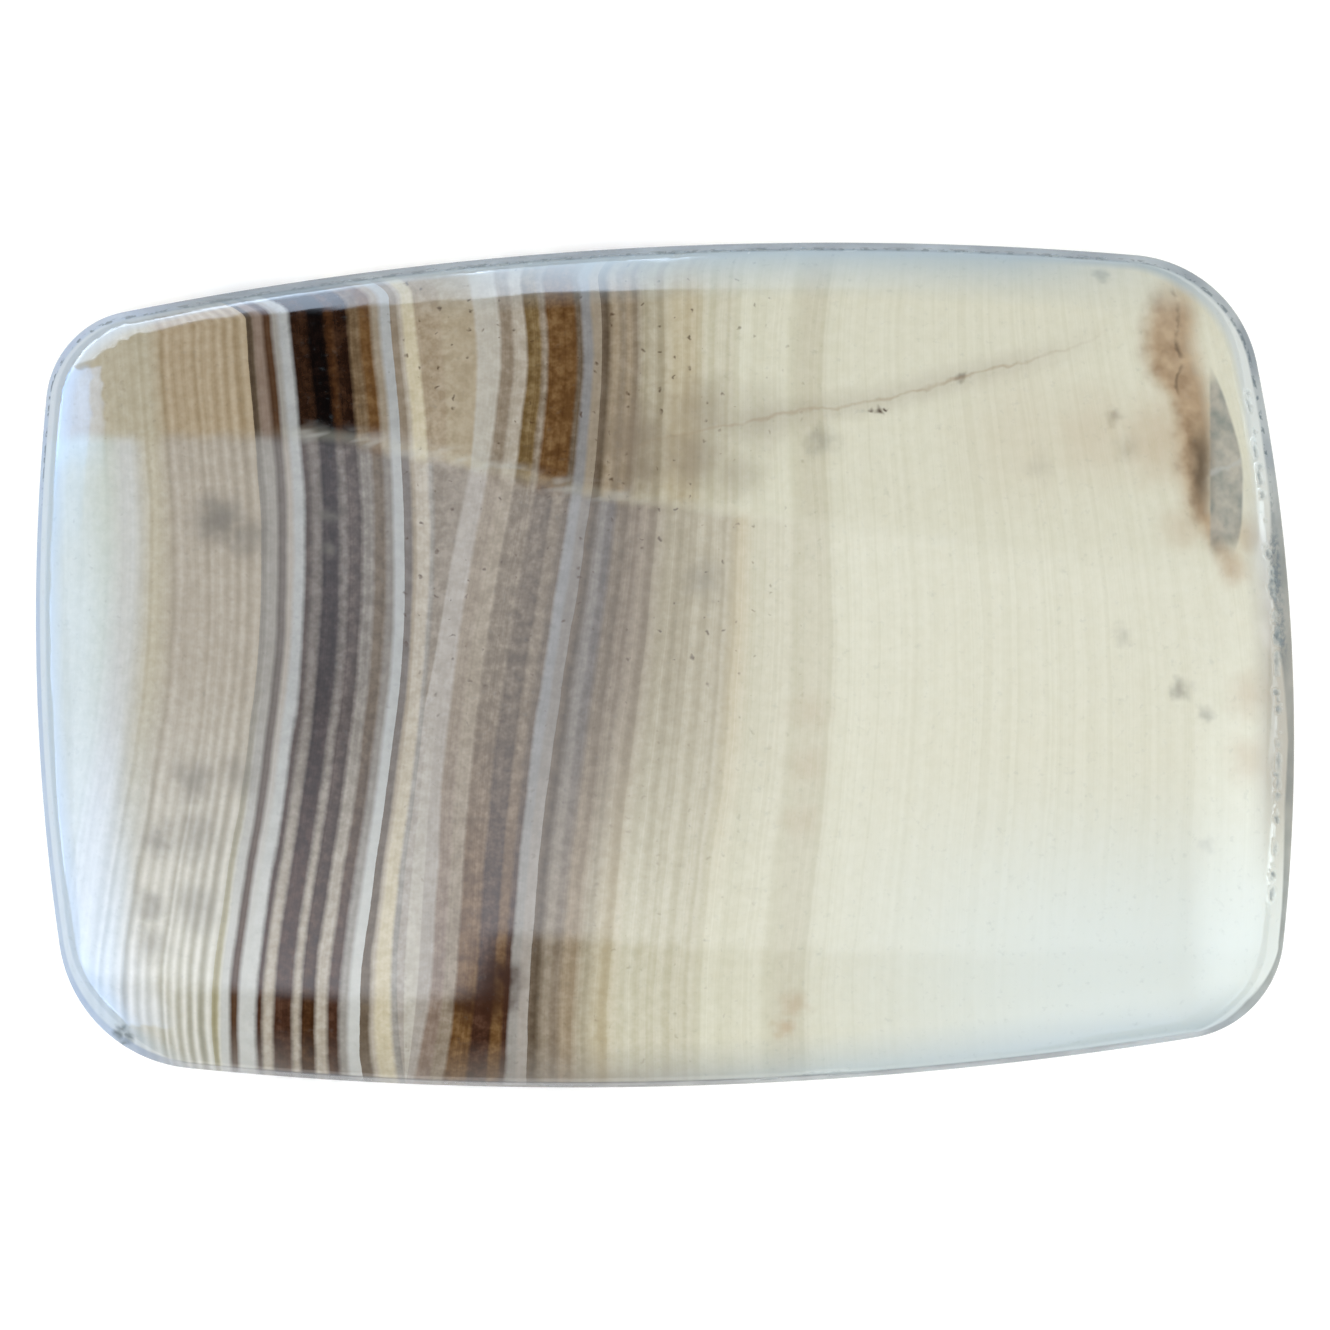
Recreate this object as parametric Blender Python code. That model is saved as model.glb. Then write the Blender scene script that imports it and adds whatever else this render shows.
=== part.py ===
"""Agate cabochon: one polished, cushion-shaped stone with a low dome, a narrow bevel and a flat back.

Run it with: blender --background --python part.py
The frame is in metres. +Z points out of the dome, +X runs along the stone's length,
and the origin is the middle of the flat back, on which the stone lies.
"""

import math

import bpy
import bmesh
from mathutils import Vector

MM = 0.001

# Overall size
LENGTH = 42.0 * MM
WIDTH = 28.2 * MM
THICKNESS = 5.0 * MM

# Outline: four bulging sides, each an arc that stands out furthest at its own place
SIDES = (
    # facing (degrees), bulge radius, how far along the side its furthest point lies
    {"facing": 0, "radius": 64.0 * MM, "shift": -2.5 * MM},
    {"facing": 90, "radius": 122.0 * MM, "shift": -5.6 * MM},
    {"facing": 180, "radius": 76.0 * MM, "shift": -1.6 * MM},
    {"facing": 270, "radius": 129.0 * MM, "shift": -3.0 * MM},
)
# Each corner is a round that runs smoothly into the side before it and the side after it
CORNER_RADII = (4.5 * MM, 3.2 * MM, 4.8 * MM, 3.6 * MM)
POINTS_ON_SIDE = (14, 20, 14, 20)
POINTS_ON_CORNER = 9

# Edge of the stone, from the back upwards
BACK_CHAMFER = 0.25 * MM
WALL_TOP = 0.95 * MM
BEVEL_TOP = 1.60 * MM
# Width of the bevel in plan, by the way it faces: it was ground by hand and isn't even
BEVEL_WIDTHS = (
    (0, 0.55 * MM),
    (48, 0.42 * MM),
    (90, 0.24 * MM),
    (135, 0.34 * MM),
    (180, 0.32 * MM),
    (226, 0.52 * MM),
    (270, 0.16 * MM),
    (315, 0.46 * MM),
)

# Dome: its rings, as a share of the way from the middle to the bevel
DOME_RINGS = (1.0, 0.988, 0.972, 0.952, 0.927, 0.895, 0.855, 0.80, 0.73, 0.64, 0.53, 0.40, 0.27, 0.13)
DOME_POWER = 2.2
SHOULDER = 0.95
# Along the stone the rings close up more slowly than across it, so all its edges are about as steep
LONG_POWER = 0.8

SHARP_ANGLE = math.radians(22)


def direction(angle):
    """The unit vector in plan at this angle."""
    return Vector((math.cos(angle), math.sin(angle)))


def side_centre(side):
    """The centre of a side's arc, from how far the side stands from the middle of the stone."""
    facing = math.radians(side["facing"])
    reach = (LENGTH if side["facing"] % 180 == 0 else WIDTH) / 2
    along = direction(facing + math.pi / 2)
    return (reach - side["radius"]) * direction(facing) + side["shift"] * along


def corner_centre(before, after, radius):
    """The centre of a round that touches both sides' arcs from inside."""
    a, b = side_centre(before), side_centre(after)
    from_a, from_b = before["radius"] - radius, after["radius"] - radius
    gap = (b - a).length
    along = (from_a**2 - from_b**2 + gap**2) / (2 * gap)
    across = math.sqrt(from_a**2 - along**2)
    towards = (b - a) / gap
    sideways = Vector((-towards.y, towards.x))
    corner = direction(math.radians(before["facing"] + 45))
    found = (a + along * towards + across * sideways, a + along * towards - across * sideways)
    return max(found, key=lambda point: point.dot(corner))


def outline():
    """Points round the stone, anticlockwise, each with the angle that the edge faces there."""
    count = len(SIDES)
    rounds = [corner_centre(SIDES[i], SIDES[(i + 1) % count], CORNER_RADII[i]) for i in range(count)]
    points = []
    for i, side in enumerate(SIDES):
        centre = side_centre(side)
        starts = rounds[i - 1] - centre
        ends = rounds[i] - centre
        first = math.atan2(starts.y, starts.x)
        last = first + (math.atan2(ends.y, ends.x) - first) % math.tau
        steps = POINTS_ON_SIDE[i]
        for k in range(steps):
            facing = first + (last - first) * k / steps
            points.append((centre + side["radius"] * direction(facing), facing))
        after = rounds[i] - side_centre(SIDES[(i + 1) % count])
        turned = last + (math.atan2(after.y, after.x) - last) % math.tau
        for k in range(POINTS_ON_CORNER):
            facing = last + (turned - last) * k / POINTS_ON_CORNER
            points.append((rounds[i] + CORNER_RADII[i] * direction(facing), facing))
    return points


def bevel_width(facing):
    """The bevel's width where the edge faces this way, eased between the measured places."""
    degrees = math.degrees(facing) % 360
    places = [*BEVEL_WIDTHS, (360, BEVEL_WIDTHS[0][1])]
    for (a, width_a), (b, width_b) in zip(places, places[1:]):
        if a <= degrees <= b:
            share = (1 - math.cos(math.pi * (degrees - a) / (b - a))) / 2
            return width_a + (width_b - width_a) * share
    return BEVEL_WIDTHS[0][1]


def inset_ring(points, inset, height):
    """A ring that lies inside the outline by inset, which is a length or a function of the facing."""
    ring = []
    for point, facing in points:
        inward = inset(facing) if callable(inset) else inset
        place = point - inward * direction(facing)
        ring.append(Vector((place.x, place.y, height)))
    return ring


def dome_height(share):
    """Height of the dome above the bevel: a flattened half oval, full at the middle and 0 at the bevel."""
    def oval(s):
        return math.sqrt(1 - (SHOULDER * s) ** DOME_POWER)

    return (THICKNESS - BEVEL_TOP) * (oval(share) - oval(1)) / (1 - oval(1))


def dome_ring(edge, share):
    """The edge drawn in towards the middle. Near the middle its cushion shape gives way to an oval."""
    ring = []
    keep = share**2 * (3 - 2 * share)
    for point in edge:
        reach = Vector((2 * point.x / LENGTH, 2 * point.y / WIDTH))
        size = 1 + keep * (reach.length - 1)
        way = reach.normalized() * size
        x = way.x * share**LONG_POWER * LENGTH / 2
        y = way.y * share * WIDTH / 2
        ring.append(Vector((x, y, BEVEL_TOP + dome_height(share))))
    return ring


def skin(rings, top):
    """One closed mesh over rings that all have the same number of points, with a flat back and a top point."""
    mesh = bmesh.new()
    loops = [[mesh.verts.new(point) for point in ring] for ring in rings]
    count = len(loops[0])
    for low, high in zip(loops, loops[1:]):
        for i in range(count):
            j = (i + 1) % count
            mesh.faces.new((low[i], low[j], high[j], high[i]))
    mesh.faces.new(tuple(reversed(loops[0])))
    middle = mesh.verts.new(top)
    for i in range(count):
        mesh.faces.new((loops[-1][i], loops[-1][(i + 1) % count], middle))
    return mesh


def polished_agate():
    """Banded agate with a high polish."""
    material = bpy.data.materials.new("polished_agate")
    material.use_nodes = True
    shader = material.node_tree.nodes["Principled BSDF"]
    shader.inputs["Base Color"].default_value = (0.52, 0.46, 0.36, 1)
    shader.inputs["Roughness"].default_value = 0.06
    shader.inputs["Metallic"].default_value = 0
    shader.inputs["IOR"].default_value = 1.54
    return material


def cabochon():
    """The stone, from its flat back to the top of its dome."""
    points = outline()
    edge = inset_ring(points, bevel_width, BEVEL_TOP)
    rings = [
        inset_ring(points, BACK_CHAMFER, 0),
        inset_ring(points, 0, BACK_CHAMFER),
        inset_ring(points, 0, WALL_TOP),
    ]
    rings += [dome_ring(edge, share) for share in DOME_RINGS]
    mesh = skin(rings, Vector((0, 0, THICKNESS)))
    data = bpy.data.meshes.new("cabochon")
    mesh.to_mesh(data)
    mesh.free()
    data.shade_smooth()
    data.set_sharp_from_angle(angle=SHARP_ANGLE)
    data.materials.append(polished_agate())
    stone = bpy.data.objects.new("cabochon", data)
    bpy.context.scene.collection.objects.link(stone)
    return stone


for old in list(bpy.data.objects):
    bpy.data.objects.remove(old)
cabochon()
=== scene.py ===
# %% [markdown]
# This notebook dresses one small stone: an agate cabochon, 42 mm long, lying on its flat back. The
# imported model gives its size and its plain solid. Here the stone gets the surface that a grinding
# wheel and a polishing pad left on it, and the growth layers that run through it like pages in a
# book.

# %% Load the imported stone
import math

import bpy
import numpy as np
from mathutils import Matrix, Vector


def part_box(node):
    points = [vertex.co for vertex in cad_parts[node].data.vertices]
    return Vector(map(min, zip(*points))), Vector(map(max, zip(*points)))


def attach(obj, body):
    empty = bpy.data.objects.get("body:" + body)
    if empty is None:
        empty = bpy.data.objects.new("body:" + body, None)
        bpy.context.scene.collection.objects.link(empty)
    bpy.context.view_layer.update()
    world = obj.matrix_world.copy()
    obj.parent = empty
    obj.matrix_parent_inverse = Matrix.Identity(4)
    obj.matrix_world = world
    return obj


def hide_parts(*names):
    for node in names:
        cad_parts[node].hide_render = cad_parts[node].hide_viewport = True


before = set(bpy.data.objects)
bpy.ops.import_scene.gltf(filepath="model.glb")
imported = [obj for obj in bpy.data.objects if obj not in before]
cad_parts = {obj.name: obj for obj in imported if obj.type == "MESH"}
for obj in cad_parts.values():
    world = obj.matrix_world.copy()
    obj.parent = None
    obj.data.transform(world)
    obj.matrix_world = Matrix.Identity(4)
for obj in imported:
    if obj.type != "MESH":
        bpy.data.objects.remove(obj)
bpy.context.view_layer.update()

MM = 0.001
low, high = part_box("cabochon")
LENGTH, WIDTH, THICKNESS = [(top - bottom) / MM for bottom, top in zip(low, high)]
print(f"the packed stone is {LENGTH:.2f} x {WIDTH:.2f} x {THICKNESS:.2f} mm")

# %% [markdown]
# A cushion cut has four bulging sides joined by small round corners. It could be drawn by hand with
# a Bezier curve. Eight arcs are used instead, because each one touches the next without a kink, and
# a point anywhere on the edge, with the way it faces, then comes from one formula. All lengths
# below are in millimetres.

# %% The outline: eight arcs that run into each other
FACINGS = np.radians([0, 90, 180, 270])
BULGE_RADII = np.array([64.0, 122.0, 76.0, 129.0])
SHIFTS = np.array([-2.5, -5.6, -1.6, -3.0])
CORNER_RADII = np.array([4.5, 3.2, 4.8, 3.6])


def direction(angle):
    """Unit vectors in plan: the cosine and sine of each angle."""
    return np.stack([np.cos(angle), np.sin(angle)], axis=-1)


def angle_of(vectors):
    """The angle of each vector in plan."""
    return np.arctan2(vectors[:, 1], vectors[:, 0])


def corner_centres(sides):
    """Centres of rounds that touch two arcs from inside: each lies a corner radius short of both
    arcs, so it is where two circles about the arcs' centres cross, on the corner's own side."""
    after = np.roll(sides, -1, axis=0)
    from_side, from_after = BULGE_RADII - CORNER_RADII, np.roll(BULGE_RADII, -1) - CORNER_RADII
    gap = np.linalg.norm(after - sides, axis=1)
    towards = (after - sides) / gap[:, None]
    along = (from_side**2 - from_after**2 + gap**2) / (2 * gap)
    across = np.sqrt(from_side**2 - along**2)
    sideways = np.stack([-towards[:, 1], towards[:, 0]], axis=1)
    outward = np.sum(sideways * direction(FACINGS + math.pi / 4), axis=1)
    return sides + along[:, None] * towards + (across * np.sign(outward))[:, None] * sideways


reach = np.array([LENGTH, WIDTH, LENGTH, WIDTH]) / 2
side_centres = (reach - BULGE_RADII)[:, None] * direction(FACINGS)
side_centres += SHIFTS[:, None] * direction(FACINGS + math.pi / 2)
rounds = corner_centres(side_centres)
ARC_CENTRES = np.stack([side_centres, rounds], axis=1).reshape(-1, 2)
ARC_RADII = np.stack([BULGE_RADII, CORNER_RADII], axis=1).ravel()
side_starts = angle_of(np.roll(rounds, 1, axis=0) - side_centres)
side_ends = angle_of(rounds - side_centres)
ARC_STARTS = np.unwrap(np.stack([side_starts, side_ends], axis=1).ravel())
ARC_LENGTHS = ARC_RADII * np.diff(ARC_STARTS, append=ARC_STARTS[0] + math.tau)
ARC_ENDS = np.cumsum(ARC_LENGTHS)


def outline(along):
    """Points on the edge and the way it faces there: walk this far along the arcs, anticlockwise,
    and turn by the distance over the arc's radius."""
    arc = np.searchsorted(ARC_ENDS, along, side="right")
    facing = ARC_STARTS[arc] + (along - (ARC_ENDS - ARC_LENGTHS)[arc]) / ARC_RADII[arc]
    return ARC_CENTRES[arc] + ARC_RADII[arc][:, None] * direction(facing), facing


print(f"the edge is {ARC_ENDS[-1]:.1f} mm round")

# %% [markdown]
# The bevel round the dome was ground by hand, so its width wanders. Stones like this also lose
# small flakes along that edge. They are real hollows, so they are cut into the mesh, and the
# columns of the mesh stand closer together where the flakes are: along the right side and the top.

# %% Columns round the edge, closer where it is chipped
COLUMNS = 1440
RIGHT_CHIPS = (1.5, 18.6)
TOP_CHIPS = (26.0, 52.0)
BEVEL_WIDTHS = np.array([
    (0, 0.55), (48, 0.42), (90, 0.24), (135, 0.34), (180, 0.32), (226, 0.52), (270, 0.16),
    (315, 0.46), (360, 0.55)])


def bevel_width(facing):
    """The bevel's width in plan: eased by half a cosine between the places where it was
    measured."""
    degrees = np.degrees(facing) % 360
    places, widths = BEVEL_WIDTHS.T
    after = np.clip(np.searchsorted(places, degrees), 1, len(places) - 1)
    share = (degrees - places[after - 1]) / (places[after] - places[after - 1])
    eased = (1 - np.cos(math.pi * share)) / 2
    return widths[after - 1] + (widths[after] - widths[after - 1]) * eased


def spread_columns(count):
    """Distances along the edge: a running sum of how crowded each stretch should be, read back at
    even steps."""
    along = np.linspace(0, ARC_ENDS[-1], 8000)
    crowd = 1 + 1.2 * ((along > RIGHT_CHIPS[0]) & (along < RIGHT_CHIPS[1]))
    crowd += 0.35 * ((along > TOP_CHIPS[0]) & (along < TOP_CHIPS[1]))
    total = np.concatenate([[0], np.cumsum((crowd[1:] + crowd[:-1]) / 2)])
    return np.interp(np.linspace(0, total[-1], count, endpoint=False), total, along)


along = spread_columns(COLUMNS)
edge, facing = outline(along)
print(f"columns stand {np.diff(along).min():.3f} to {np.diff(along).max():.3f} mm apart")

# %% [markdown]
# The skin is a grid: columns go round the stone, and rows climb from the middle of the back, out to
# the edge, up the wall and the bevel and over the dome. Every row is one whole array. The sharp
# edges between wall, bevel and dome are rounded by a few hundredths of a millimetre, as polishing
# leaves them, so they catch the light.

# %% Rows of the wall, bevel and dome
BACK_CHAMFER = 0.25
WALL_TOP = 0.95
BEVEL_TOP = 1.60
SHOULDER = 0.95
DOME_POWER = 2.2
LONG_POWER = 0.8
# How far polishing has rounded the edge of the back, the wall's foot, its head, and the crest
BACK_ROUND, FOOT_ROUND, HEAD_ROUND, CREST_ROUND = 0.06, 0.08, 0.06, 0.07


def inset_row(inset, height):
    """The edge moved inwards, against the way it faces, by inset, at one height."""
    plan = edge - np.broadcast_to(inset, facing.shape)[:, None] * direction(facing)
    return np.column_stack([plan, np.broadcast_to(height, facing.shape)])


def dome_row(rim, share):
    """The bevel's top edge drawn in to a share of its reach: its cushion shape, measured against a
    circle after both sides are scaled to one, fades out by the smooth step of the share, and a
    flattened half oval gives the height."""
    keep = share**2 * (3 - 2 * share)
    unit = rim[:, :2] / (np.array([LENGTH, WIDTH]) / 2)
    size = np.linalg.norm(unit, axis=1, keepdims=True)
    plan = unit / size * (1 + keep * (size - 1)) * (np.array([LENGTH, WIDTH]) / 2)
    plan = plan * np.array([share**LONG_POWER, share])
    full = math.sqrt(1 - (SHOULDER * share) ** DOME_POWER)
    bare = math.sqrt(1 - SHOULDER**DOME_POWER)
    height = BEVEL_TOP + (THICKNESS - BEVEL_TOP) * (full - bare) / (1 - bare)
    return np.column_stack([plan, np.full(len(plan), height)])


def rounded(before, corner, after, radius, steps):
    """Rows round a corner: a quadratic Bezier from a point just before it to a point just after
    it."""
    starts, ends = [
        corner + radius * (side - corner) / np.linalg.norm(side - corner, axis=1, keepdims=True)
        for side in (before, after)]
    return [
        (1 - t) ** 2 * starts + 2 * t * (1 - t) * corner + t**2 * ends
        for t in np.linspace(0, 1, steps)]


def between(first, last, steps):
    """Rows at even steps between two rows, without the two themselves."""
    return [first + (last - first) * t for t in np.linspace(0, 1, steps + 2)[1:-1]]


back_rim = inset_row(BACK_CHAMFER, 0)
wall_foot = inset_row(0, BACK_CHAMFER)
wall_head = inset_row(0, WALL_TOP)
bevel_head = inset_row(bevel_width(facing), BEVEL_TOP)
dome_start = dome_row(bevel_head, 0.99)

edge_rows = rounded(inset_row(BACK_CHAMFER + 0.5, 0), back_rim, wall_foot, BACK_ROUND, 3)
edge_rows += rounded(back_rim, wall_foot, wall_head, FOOT_ROUND, 3)
edge_rows += rounded(wall_foot, wall_head, bevel_head, HEAD_ROUND, 4)
crest = rounded(wall_head, bevel_head, dome_start, CREST_ROUND, 5)
edge_rows += between(edge_rows[-1], crest[0], 6) + crest
# Shares of the reach at which the dome's and the back's rows lie
FINE_SHARES = 1 - np.array([0.0075, 0.011, 0.015, 0.0195, 0.0245, 0.030])
MIDDLE_SHARES = np.linspace(0.962, 0.62, 38)
INNER_SHARES = np.linspace(0.608, 0.02, 44)
BACK_SHARES = np.linspace(0.05, 0.95, 12)
fine_rows = edge_rows + [dome_row(bevel_head, share) for share in FINE_SHARES]
middle_rows = [dome_row(bevel_head, share)[::2] for share in MIDDLE_SHARES]
inner_rows = [dome_row(bevel_head, share)[::4] for share in INNER_SHARES]
back_rows = [back_rim[::4] * share for share in BACK_SHARES] + [back_rim[::2] * 0.975]
print(f"{len(back_rows)} rows on the back and {len(fine_rows)} on the edge")
print(f"{len(middle_rows) + len(inner_rows)} rows on the dome")

# %% [markdown]
# Each flake broke off as a shallow shell, so its hollow is a piece of a sphere: deepest in the
# middle and with a crisp border. The hollows are scattered along the crest by a seeded generator,
# mostly on the right side, and a few small ones along the top.

# %% Flakes broken from the crest of the bevel
CHIP_GROUPS = (
    # how many, where along the edge, half length, half width, depth
    (70, RIGHT_CHIPS, (0.08, 0.36), (0.05, 0.17), (0.015, 0.07)),
    (60, TOP_CHIPS, (0.06, 0.34), (0.03, 0.09), (0.01, 0.045)),
    (3, (107.0, 110.5), (0.8, 1.5), (0.08, 0.12), (0.02, 0.03)),
)
CREST_SPREAD = 0.06
SEED = 7
chance = np.random.default_rng(SEED)


def scatter_chips():
    """Chips as one array, a row each: place along the edge, place across the crest, half length,
    half width, depth."""
    chips = []
    for count, stretch, lengths, widths, depths in CHIP_GROUPS:
        chips.append(np.column_stack([
            chance.uniform(*stretch, count),
            chance.normal(0.0, CREST_SPREAD, count),
            chance.uniform(*lengths, count) * chance.uniform(0.4, 1, count),
            chance.uniform(*widths, count),
            chance.uniform(*depths, count),
        ]))
    return np.concatenate(chips)


chips = scatter_chips()


def chip_depth(across):
    """How deep the chips cut at each column, this far across the crest: the root of what is left of
    one after the squared distances from a chip's middle, each over its own half size."""
    far = ((along[:, None] - chips[:, 0]) / chips[:, 2]) ** 2
    far += ((across[:, None] - chips[:, 1]) / chips[:, 3]) ** 2
    return np.max(chips[:, 4] * np.sqrt(np.clip(1 - far, 0, 1)), axis=1)


def chipped(row):
    """The row with its chips cut, downwards and a little inwards, and how deep they are."""
    across = np.linalg.norm(row - bevel_head, axis=1) * np.where(row[:, 2] < BEVEL_TOP, -1, 1)
    depth = chip_depth(across)
    rough = depth * (1 + 0.25 * chance.normal(size=depth.shape))
    inward = np.column_stack([-direction(facing) * 0.6, np.full(len(facing), -0.8)])
    return row + rough[:, None] * inward, depth


chipped_rows, depths = zip(*(chipped(row) for row in fine_rows))
print(f"{len(chips)} chips, the deepest {max(depth.max() for depth in depths):.3f} mm")

# %% [markdown]
# The rows are now joined to one closed skin. Where a row has half as many points as the one below
# it, three triangles make each step, so the middle of the dome isn't crowded with slivers.

# %% Join the rows to one closed mesh


def strip(lower, upper):
    """Faces between two rows of point numbers: quads for equal rows, and three triangles for each
    step between a row and one half as dense."""
    if len(lower) == len(upper):
        return np.column_stack([lower, np.roll(lower, -1), np.roll(upper, -1), upper]).tolist()
    dense, sparse = (lower, upper) if len(lower) > len(upper) else (upper, lower)
    first, second, third = dense[0::2], dense[1::2], np.roll(dense, -2)[0::2]
    here, there = sparse, np.roll(sparse, -1)
    faces = np.concatenate([
        np.column_stack([first, second, here]), np.column_stack([second, there, here]),
        np.column_stack([second, third, there])])
    return (faces if dense is lower else faces[:, ::-1]).tolist()


def fan(row, point):
    """Triangles from a row to one point."""
    return np.column_stack([row, np.roll(row, -1), np.full(len(row), point)])


rows = back_rows + list(chipped_rows) + middle_rows + inner_rows
points = np.concatenate([[[0, 0, 0]], *rows, [[0, 0, THICKNESS]]])
starts = np.cumsum([1] + [len(row) for row in rows])
numbers = [np.arange(start, start + len(row)) for start, row in zip(starts, rows)]
faces = fan(numbers[0], 0)[:, ::-1].tolist()
for lower, upper in zip(numbers, numbers[1:]):
    faces += strip(lower, upper)
faces += fan(numbers[-1], len(points) - 1).tolist()

skin = bpy.data.meshes.new("agate_stone")
skin.from_pydata((points * MM).tolist(), [], faces)
skin.shade_smooth()
triangles = sum(len(face) - 2 for face in faces)
print(f"{len(points)} points, {triangles} triangles")

# %% [markdown]
# Two numbers go on the mesh for the finish. The outer part of the bevel is painted greyer than the
# rest, partly for its ground finish and partly as painted shade of the edge, so one number counts
# from the outline inwards, in widths of that grey part. The other says how deep a chip is.

# %% The ground rim and the chips as numbers on the mesh
GREY_WIDTHS = np.array([
    (0, 0.22), (2, 0.35), (3.2, 0.5), (5.5, 0.5), (7, 0.34), (9.5, 0.28), (30, 0.30), (48, 0.32),
    (70, 0.29), (95, 0.28), (110, 0.28), (135, 0.24), (150, 0.22), (165, 0.17), (178, 0.15),
    (182, 0.16), (200, 0.18), (226, 0.24), (240, 0.26), (255, 0.24), (270, 0.20), (285, 0.20),
    (300, 0.24), (315, 0.32), (335, 0.22), (350, 0.15), (355, 0.18), (358, 0.30), (360, 0.22)])
grey_width = np.interp(np.degrees(facing) % 360, GREY_WIDTHS[:, 0], GREY_WIDTHS[:, 1])
FAR_IN = 9.0
before_edge = 1 + sum(len(row) for row in back_rows)
on_edge = slice(before_edge, before_edge + len(fine_rows) * COLUMNS)
inset, chip = np.full(len(points), FAR_IN), np.zeros(len(points))
inset[on_edge] = np.concatenate([
    np.sum((edge - row[:, :2]) * direction(facing), axis=1) / grey_width for row in fine_rows])
chip[on_edge] = np.concatenate(depths)


def store(name, values):
    """Puts one number a point on the mesh."""
    attribute = skin.attributes.new(name, "FLOAT", "POINT")
    attribute.data.foreach_set("value", values.astype(np.float32))


store("inset", inset)
store("chip", chip)

stone = bpy.data.objects.new("agate_stone", skin)
bpy.context.scene.collection.objects.link(stone)

# %% [markdown]
# The colours of agate come from iron and fine water-filled pores: milk-white layers, honey, sard
# brown and near-black umber. They are kept as a small palette of named tones, in sRGB hex values as
# a painter would pick them, and one function turns them to the linear numbers that the renderer
# needs. They are the tones that are seen under a light bright enough to bleach a white table top,
# so the stone's own colours are a little darker.

# %% The palette
TONES = {
    "snow": "#e0e7e2",
    "bone": "#d8d6cb",
    "ivory": "#d8d5bf",
    "mist": "#ced5d6",
    "straw": "#cdc8b1",
    "cream": "#c3b89c",
    "frost": "#bcc1b4",
    "pearl": "#bebeb8",
    "chalk": "#b4aea1",
    "dun": "#b3aa93",
    "wheat": "#ae9d82",
    "oat": "#aba191",
    "buff": "#a6987f",
    "milk": "#a4a5a3",
    "honey": "#a49a82",
    "linen": "#a0988e",
    "sand": "#a09078",
    "fawn": "#928572",
    "ash": "#928d85",
    "drab": "#887a68",
    "fog": "#82807e",
    "putty": "#7a736b",
    "rose": "#806e60",
    "taupe": "#766856",
    "mauve": "#68605a",
    "walnut": "#68543c",
    "bark": "#605242",
    "bronze": "#705a38",
    "sard": "#624424",
    "soot": "#4a3f3a",
    "chestnut": "#4a3220",
    "cocoa": "#3c2316",
    "coffee": "#381f0c",
    "pitch": "#2e2423",
    "umber": "#251308",
    "ink": "#070201",
    "amber": "#ba9e7c",
    "rust": "#967654",
    "smoke": "#6b665e",
    "slate": "#80857f",
    "flint": "#55656b",
    # From rim to sky, the tones of the edge: the ground rim's grey, and painted shade and painted
    # reflection
    "rim": "#5e6c78",
    "haze": "#97abc8",
    "lichen": "#6c716c",
    "shade": "#46484c",
    "reflection_veil": "#aabac1",
    "crest": "#a6b7c2",
    "sky": "#c2d3e4",
}

STUDIO_LIGHT = 1.22


def linear(hexa):
    """An sRGB hex value as linear red, green and blue with full alpha: the standard's straight foot
    and power 2.4."""
    srgb = [int(hexa[i:i + 2], 16) / 255 for i in (1, 3, 5)]
    return [c / 12.92 if c <= 0.04045 else ((c + 0.055) / 1.055) ** 2.4 for c in srgb] + [1.0]


def tone(name):
    """A tone of the palette as linear numbers, darker by as much as the studio's light is brighter
    than white."""
    return [channel / STUDIO_LIGHT for channel in linear(TONES[name])[:3]] + [1.0]


# %% [markdown]
# One small function builds every node: it sets the node's own options and fills its inputs, each
# with a value or with a link from another node.

# %% A helper that adds a node
agate = bpy.data.materials.new("banded_agate_polished")
agate.use_nodes = True
tree = agate.node_tree
shader = tree.nodes["Principled BSDF"]


def add(kind, inputs=None, **settings):
    """Adds a node of this kind, with its settings, and fills its inputs with values or with other
    nodes' outputs."""
    node = tree.nodes.new("ShaderNode" + kind)
    for name, value in settings.items():
        setattr(node, name, value)
    for socket, value in (inputs or {}).items():
        if isinstance(value, bpy.types.Node):
            value = next(output for output in value.outputs if output.enabled)
        if isinstance(value, bpy.types.NodeSocket):
            tree.links.new(value, node.inputs[socket])
        else:
            node.inputs[socket].default_value = value
    return node


# %% [markdown]
# All patterns are measured in millimetres, so the object's own coordinates, which are metres, are
# scaled by a thousand first. Lines that cross the stone, such as a layer or a crack, are each a
# smooth curve through a few points: how far out the line lies at each distance along it.

# %% Coordinates in millimetres, and curves through points
coordinates = add("TexCoord")
metres = coordinates.outputs["Object"]
place = add("VectorMath", {0: metres, 1: (1 / MM, 1 / MM, 1 / MM)}, operation="MULTIPLY")
x, y, z = add("SeparateXYZ", {0: place}).outputs
REACH = 22.0


def course(points, along):
    """How far out a line lies at each distance along it, both in millimetres from the middle of the
    stone. A curve node works between 0 and 1, so both are shared out over the stone's reach."""
    scaled = add("Math", {0: along, 1: 0.5 / REACH, 2: 0.5}, operation="MULTIPLY_ADD")
    node = add("FloatCurve", {"Value": scaled})
    line = node.mapping.curves[0]
    spots = [((a / REACH + 1) / 2, (b / REACH + 1) / 2) for a, b in sorted(points)]
    for spot in spots[2:]:
        line.points.new(*spot)
    for spot, place_on_line in zip(spots, sorted(line.points, key=lambda point: point.location.x)):
        place_on_line.location = spot
    node.mapping.update()
    return add("Math", {0: node, 1: 2 * REACH, 2: -REACH}, operation="MULTIPLY_ADD")
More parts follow.
